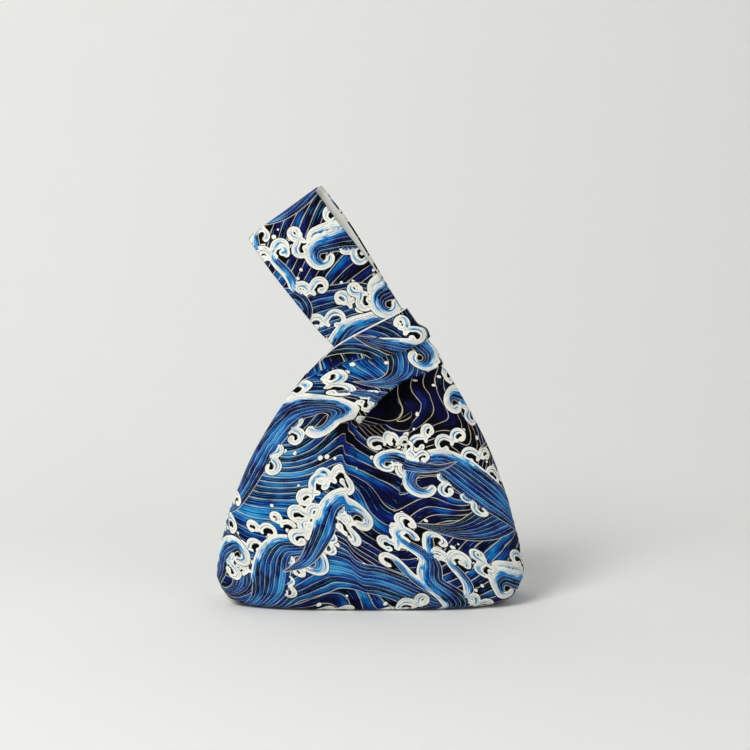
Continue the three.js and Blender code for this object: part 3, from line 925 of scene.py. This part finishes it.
# sea stripes: brushed blues with gold lines, pale hairs and dark hairs between
def seaGroup():
    inputs = dict(Stripe="Float", Flat="Vector", Light="Float", Close="Float")
    tree, given, made = newGroup("seaStripes", inputs, dict(Colour="Color"))
    stripe, flat, light = given["Stripe"], given["Flat"], given["Light"]
    part = maths(tree, "FRACT", stripe)
    tone = maths(tree, "ADD", brushNoise(tree, flat, stripe, *sea["brush"]), light)
    tone = maths(tree, "MULTIPLY_ADD", part, sea["shade"], tone)
    patches = maths(tree, "SUBTRACT", noise(tree, flat, sea["patchScale"], detail=1.0).outputs[0], 0.5)
    tone = maths(tree, "MULTIPLY_ADD", patches, sea["patches"], tone)
    own = addNode(tree, "TexWhiteNoise", {"W": maths(tree, "FLOOR", stripe)}, noise_dimensions="1D")
    own = maths(tree, "SUBTRACT", own.outputs["Value"], 0.5)
    tone = maths(tree, "MULTIPLY_ADD", own, sea["ownTone"], tone)
    colour = colourRamp(tree, tone, sea["ramp"])
    weight = brushNoise(tree, flat, stripe, *sea["fineBrush"])
    hairs = sea["darkHairs"]
    dark = maths(tree, "LESS_THAN", hairPart(tree, stripe, hairs), hairs["wide"])
    colour = blend(tree, maths(tree, "MULTIPLY", dark, hairs["strength"]), colour, ink["outline"])
    hairs = sea["paleHairs"]
    wide = maths(tree, "ADD", maths(tree, "MULTIPLY_ADD", weight, hairs["wide"], hairs["least"]), light)
    pale = maths(tree, "LESS_THAN", hairPart(tree, stripe, hairs), wide)
    colour = blend(tree, maths(tree, "MULTIPLY", pale, hairs["strength"]), colour, ink["light"])
    wide = maths(tree, "MULTIPLY", maths(tree, "MULTIPLY_ADD", weight, *sea["goldLine"]), given["Close"])
    tree.links.new(blend(tree, maths(tree, "LESS_THAN", part, wide), colour, ink["gold"]), made["Colour"])
    return tree


wave = dict(
    light=-0.05, close=1.0, brush=(8.0, 1.1), ragged=10.0, rampScale=0.1,
    ramp=((0.0, "azure"), (0.12, "light"), (0.26, "cream"), (1.0, "cream")),
    hairs=dict(count=2.0, shift=0.4, wide=1.1, least=-0.4, depth=5.2, strength=0.85),
    rimAt=-1.0, rimHalf=0.55, outline=0.42,
)


# one layer of strokes laid over what is below it
def waveGroup(stripes):
    inputs = dict(Below="Color", Field="Vector", Flat="Vector")
    tree, given, made = newGroup("waveLayer", inputs, dict(Colour="Color"))
    flat = given["Flat"]
    edge, stripe, depth = split(tree, given["Field"])
    water = addNode(tree, "Group", dict(Stripe=stripe, Flat=flat, Light=wave["light"], Close=wave["close"]),
                    node_tree=stripes).outputs["Colour"]
    marks = brushNoise(tree, flat, stripe, *wave["brush"])
    ragged = maths(tree, "MULTIPLY_ADD", marks, wave["ragged"], -wave["ragged"] / 2)
    ragged = maths(tree, "ADD", depth, ragged)
    foam = colourRamp(tree, maths(tree, "MULTIPLY", ragged, wave["rampScale"]), wave["ramp"])
    hairs = wave["hairs"]
    thin = maths(tree, "LESS_THAN", hairPart(tree, stripe, hairs),
                 maths(tree, "MULTIPLY_ADD", marks, hairs["wide"], hairs["least"]))
    shallow = maths(tree, "MULTIPLY", maths(tree, "LESS_THAN", ragged, hairs["depth"]), hairs["strength"])
    foam = blend(tree, maths(tree, "MULTIPLY", thin, shallow), foam, ink["azure"])
    body = blend(tree, maths(tree, "GREATER_THAN", ragged, 0.0), water, foam)
    inFoam = maths(tree, "GREATER_THAN", depth, 0.0)
    rim = maths(tree, "COMPARE", edge, wave["rimAt"], wave["rimHalf"])
    body = blend(tree, maths(tree, "MULTIPLY", rim, inFoam), body, ink["cream"])
    line = blend(tree, inFoam, ink["gold"], ink["outline"])
    body = blend(tree, maths(tree, "GREATER_THAN", edge, -wave["outline"]), body, line)
    tree.links.new(blend(tree, maths(tree, "LESS_THAN", edge, 0.0), given["Below"], body), made["Colour"])
    return tree


weave = dict(wobbleScale=9.0, wobble=0.012, slubScale=60.0, slubHeight=0.6, patchScale=3.1,
             ground=0.80, paintedThreadShade=0.10, slubTone=0.16, patchTone=0.14)


# plain weave: threads that pass over and under each other, a little uneven; its tone has random slubs and
# patches, and painted shade where the threads dip
def weaveGroup():
    inputs = dict(Flat="Vector", Threads="Float")
    tree, given, made = newGroup("plainWeave", inputs, dict(Height="Float", Tone="Float"))
    flat = given["Flat"]
    wobble = noise(tree, flat, weave["wobbleScale"], detail=2.0).outputs["Color"]
    bent = addNode(tree, "VectorMath", {0: wobble, 1: (weave["wobble"], weave["wobble"], 0), 2: flat},
                   operation="MULTIPLY_ADD").outputs[0]
    axes = split(tree, scaleBy(tree, bent, given["Threads"]))
    threads = maths(tree, "MULTIPLY", maths(tree, "SINE", axes[0]), maths(tree, "SINE", axes[1]))
    height = maths(tree, "MULTIPLY_ADD", threads, 0.5, 0.5)
    slubs = noise(tree, flat, weave["slubScale"], detail=3.0).outputs[0]
    patches = noise(tree, flat, weave["patchScale"], detail=2.0).outputs[0]
    tone = maths(tree, "MULTIPLY_ADD", slubs, weave["slubTone"], weave["ground"])
    # painted shade: the colour darkens where the threads dip under each other, after the bump's height
    tone = maths(tree, "MULTIPLY_ADD", height, weave["paintedThreadShade"], tone)
    tone = maths(tree, "MULTIPLY_ADD", patches, weave["patchTone"], tone)
    tree.links.new(maths(tree, "MULTIPLY_ADD", slubs, weave["slubHeight"], height), made["Height"])
    tree.links.new(tone, made["Tone"])
    return tree


cotton = dict(roughness=0.78, sheenRoughness=0.5, specular=0.06, bump=0.35, bumpDepth=0.00025)
printed = dict(threads=900.0, sheen=0.015, seaLight=-0.18, dropEdge=0.17)
lining = dict(threads=700.0, sheen=0.1, colour=(238, 237, 231))


def clothMaterial(name, woven, look):
    material = bpy.data.materials.new(name)
    material.use_nodes = True
    tree = material.node_tree
    shader = tree.nodes["Principled BSDF"]
    shader.inputs["Roughness"].default_value = cotton["roughness"]
    shader.inputs["Sheen Weight"].default_value = look["sheen"]
    shader.inputs["Sheen Roughness"].default_value = cotton["sheenRoughness"]
    shader.inputs["Specular IOR Level"].default_value = cotton["specular"]
    flat = addNode(tree, "UVMap", uv_map="flat").outputs[0]
    cloth = addNode(tree, "Group", dict(Flat=flat, Threads=look["threads"]), node_tree=woven).outputs
    relief = addNode(tree, "Bump", {"Strength": cotton["bump"], "Distance": cotton["bumpDepth"],
                                    "Height": cloth["Height"]})
    tree.links.new(relief.outputs["Normal"], shader.inputs["Normal"])
    return material, flat, cloth["Tone"]


# the weave's tone scales the colour: random slubs and patches, and painted shade between the threads
def dyeCloth(material, colour, tone):
    tree = material.node_tree
    tree.links.new(scaleBy(tree, colour, tone), tree.nodes["Principled BSDF"].inputs["Base Color"])
    return material


def printedMaterial(woven):
    material, flat, tone = clothMaterial("printedCotton", woven, printed)
    tree = material.node_tree
    stripes = seaGroup()
    layer = waveGroup(stripes)

    def field(name):
        return addNode(tree, "Attribute", attribute_name=name).outputs["Vector"]

    def isBelow(value, limit):
        return maths(tree, "LESS_THAN", value, limit)

    flow, drop, farHollow = split(tree, field("printBase"))
    light, close, nearHollow = split(tree, field("printGround"))
    light = maths(tree, "ADD", light, printed["seaLight"])
    colour = addNode(tree, "Group", dict(Stripe=flow, Flat=flat, Light=light, Close=close),
                     node_tree=stripes).outputs["Colour"]
    colour = blend(tree, isBelow(farHollow, 0.0), colour, ink["black"])
    dropEdge = maths(tree, "COMPARE", drop, printed["dropEdge"], printed["dropEdge"])
    colour = blend(tree, dropEdge, colour, ink["black"])
    colour = blend(tree, isBelow(drop, 0.0), colour, ink["cream"])
    for k in range(layerCount):
        if k == nearLayer:
            colour = blend(tree, isBelow(nearHollow, 0.0), colour, ink["black"])
        colour = addNode(tree, "Group", dict(Below=colour, Field=field("printLayer%d" % k), Flat=flat),
                         node_tree=layer).outputs["Colour"]
    return dyeCloth(material, colour, tone)


def liningMaterial(woven):
    material, _, tone = clothMaterial("liningCotton", woven, lining)
    return dyeCloth(material, paint(*lining["colour"])[:3], tone)


plainWeave = weaveGroup()
printedCotton = printedMaterial(plainWeave)
liningCotton = liningMaterial(plainWeave)
print("materials made")


def addField(mesh, name, values):
    attribute = mesh.attributes.new(name, "FLOAT_VECTOR", "POINT")
    attribute.data.foreach_set("vector", values.astype(np.float32).ravel())


# the flat cut as a UV map, in tenths of a metre
def addFlat(mesh, source):
    corners = np.zeros(len(mesh.loops), np.int32)
    mesh.loops.foreach_get("vertex_index", corners)
    layer = mesh.uv_layers.new(name="flat")
    layer.data.foreach_set("uv", (grid["flat"][source[corners]] / 100).astype(np.float32).ravel())


# cloth that the pleat and the crease hide, where the print jumps, and how softly
hidden = dict(pleat=26, pleatStart=(-4, 8), crease=9, creaseHalf=0.7, creaseStart=(35, 95))


def hiddenCloth():
    rise, onRight = grid["rise"], grid["onRight"]
    x, _, z = grid["points"].T
    inPleat = ~onRight * beforePleat() * smooth(rise, *hidden["pleatStart"])
    pastCrease = smooth(x - creaseAt(z), -hidden["creaseHalf"], hidden["creaseHalf"])
    pastCrease = np.where(rise > 0, onRight, pastCrease) * smooth(z, *hidden["creaseStart"])
    return hidden["pleat"] * inPleat - hidden["crease"] * pastCrease


# each panel: side of the bag, way the print runs, where it was cut and the seed of its folds
panels = [
    dict(word="front", side=-1, mirror=1, cut=(8, 6), seed=11),
    dict(word="back", side=1, mirror=-1, cut=(140, 95), seed=29),
]
# how far each ply stands out along the handles' edges
outerEdges = dict(short=0, long=1.2, inner=1.0)
liningEdges = dict(short=1.3, long=0, inner=0)
liningStart = bag["cloth"] + bag["plyGap"]
for panel in panels:
    word, side = panel["word"], panel["side"]
    lift = foldHeights(panel["seed"])
    mesh, source = plyMesh("outer" + word.title(), side, 0, bag["cloth"], lift, outerEdges)
    outerPiece = addPiece("outer_" + word, mesh, "outer_%s_panel" % word, printedCotton)
    cutP = panel["mirror"] * (grid["flat"][:, 0] - hiddenCloth()) + panel["cut"][0]
    layers, base, ground = printFields(cutP, grid["flat"][:, 1] + panel["cut"][1])
    for k in range(layerCount):
        addField(mesh, "printLayer%d" % k, layers[k][source])
    addField(mesh, "printBase", base[source])
    addField(mesh, "printGround", ground[source])
    addFlat(mesh, source)
    mesh, source = plyMesh("lining" + word.title(), side, liningStart, plies, lift, liningEdges)
    liningPiece = addPiece("lining_" + word, mesh, "lining_%s_panel" % word, liningCotton)
    addFlat(mesh, source)
    for piece in (outerPiece, liningPiece):
        print(piece.name, sum(len(face.vertices) - 2 for face in piece.data.polygons), "triangles")

# floor and backdrop in one sweep of pale paper, in metres, faded out far to the front and the sides
sweep = dict(width=9.0, front=-4.0, back=0.75, height=3.2, bend=0.5, bendSteps=12,
             colour=(236, 236, 233), roughness=0.9, frontFade=(0.6, 1.5), sideFade=(0.7, 1.7))
# soft light from all round, and the pale grey that the camera sees beyond the paper
studio = dict(sky=0.32, pale=(226, 226, 222))


def paperMaterial():
    paper = bpy.data.materials.new("palePaper")
    paper.use_nodes = True
    tree = paper.node_tree
    matt = tree.nodes["Principled BSDF"]
    matt.inputs["Base Color"].default_value = paint(*sweep["colour"])
    matt.inputs["Roughness"].default_value = sweep["roughness"]

    def fadeOut(value, low, high):
        fade = addNode(tree, "MapRange", {0: value, 1: low, 2: high}, interpolation_type="SMOOTHSTEP")
        return fade.outputs[0]

    place = split(tree, addNode(tree, "TexCoord").outputs["Object"])
    far = maths(tree, "MAXIMUM", fadeOut(maths(tree, "MULTIPLY", place[1], -1.0), *sweep["frontFade"]),
                fadeOut(maths(tree, "ABSOLUTE", place[0]), *sweep["sideFade"]))
    far = maths(tree, "MULTIPLY", far, addNode(tree, "LightPath").outputs["Is Camera Ray"])
    pale = addNode(tree, "Emission", {"Color": paint(*studio["pale"]), "Strength": 1.0}).outputs[0]
    faded = addNode(tree, "MixShader", {0: far, 1: matt.outputs[0], 2: pale}).outputs[0]
    behind = addNode(tree, "NewGeometry").outputs["Backfacing"]  # from behind or below, the paper is clear
    clear = addNode(tree, "BsdfTransparent").outputs[0]
    surface = addNode(tree, "MixShader", {0: behind, 1: faded, 2: clear}).outputs[0]
    tree.links.new(surface, tree.nodes["Material Output"].inputs["Surface"])
    return paper


def addSweep():
    bend, start = sweep["bend"], sweep["back"] - sweep["bend"]
    angles = [math.pi / 2 * k / sweep["bendSteps"] for k in range(sweep["bendSteps"] + 1)]
    profile = [(sweep["front"], 0.0)]
    profile += [(start + bend * math.sin(a), bend - bend * math.cos(a)) for a in angles]
    profile.append((sweep["back"], sweep["height"]))
    verts = [(x * sweep["width"] / 2, y, z) for y, z in profile for x in (-1, 1)]
    mesh = bpy.data.meshes.new("paperSweep")
    mesh.from_pydata(verts, [], [(2 * k, 2 * k + 1, 2 * k + 3, 2 * k + 2) for k in range(len(profile) - 1)])
    mesh.shade_smooth()
    mesh.materials.append(paperMaterial())
    floor = bpy.data.objects.new("paperSweep", mesh)
    scene.collection.objects.link(floor)
    return floor


floor = addSweep()

# camera in front, a little above; pictureWidth is what it sees across at the bag
view = dict(distance=1.5, lift=math.radians(8), target=(0.0044, 0.0, 0.1855), pictureWidth=0.60734, sensor=36,
            farthest=30)
camera = bpy.data.objects.new("camera", bpy.data.cameras.new("camera"))
scene.collection.objects.link(camera)
camera.location = (view["target"][0], view["target"][1] - view["distance"] * math.cos(view["lift"]),
                   view["target"][2] + view["distance"] * math.sin(view["lift"]))
camera.rotation_euler = (math.pi / 2 - view["lift"], 0, 0)
camera.data.sensor_width = view["sensor"]
camera.data.lens = view["sensor"] * view["distance"] / view["pictureWidth"]
camera.data.clip_end = view["farthest"]
scene.camera = camera

lamps = dict(keyLight=dict(place=(-1.1, -1.2, 1.7), size=0.9, power=33),
             fillLight=dict(place=(1.4, -1.2, 0.9), size=1.4, power=5))
lampAim = (0, 0, 0.15)
for name, lamp in lamps.items():
    data = bpy.data.lights.new(name, "AREA")
    data.size = lamp["size"]
    data.energy = lamp["power"]
    light = bpy.data.objects.new(name, data)
    scene.collection.objects.link(light)
    light.location = lamp["place"]
    direction = np.array(lampAim) - np.array(lamp["place"])
    pitch = math.atan2(-direction[2], math.hypot(direction[0], direction[1]))
    light.rotation_euler = (math.pi / 2 - pitch, 0, math.atan2(direction[1], direction[0]) - math.pi / 2)

world = bpy.data.worlds.new("studio")
scene.world = world
world.use_nodes = True
sky = world.node_tree
skyLight = sky.nodes["Background"]
skyLight.inputs["Color"].default_value = (1, 1, 1, 1)
skyLight.inputs["Strength"].default_value = studio["sky"]
paleView = addNode(sky, "Background", {"Color": paint(*studio["pale"]), "Strength": 1.0})
cameraRay = addNode(sky, "LightPath").outputs["Is Camera Ray"]
seen = addNode(sky, "MixShader", {0: cameraRay, 1: skyLight.outputs[0], 2: paleView.outputs[0]})
sky.links.new(seen.outputs[0], sky.nodes["World Output"].inputs["Surface"])

print("scene ready")
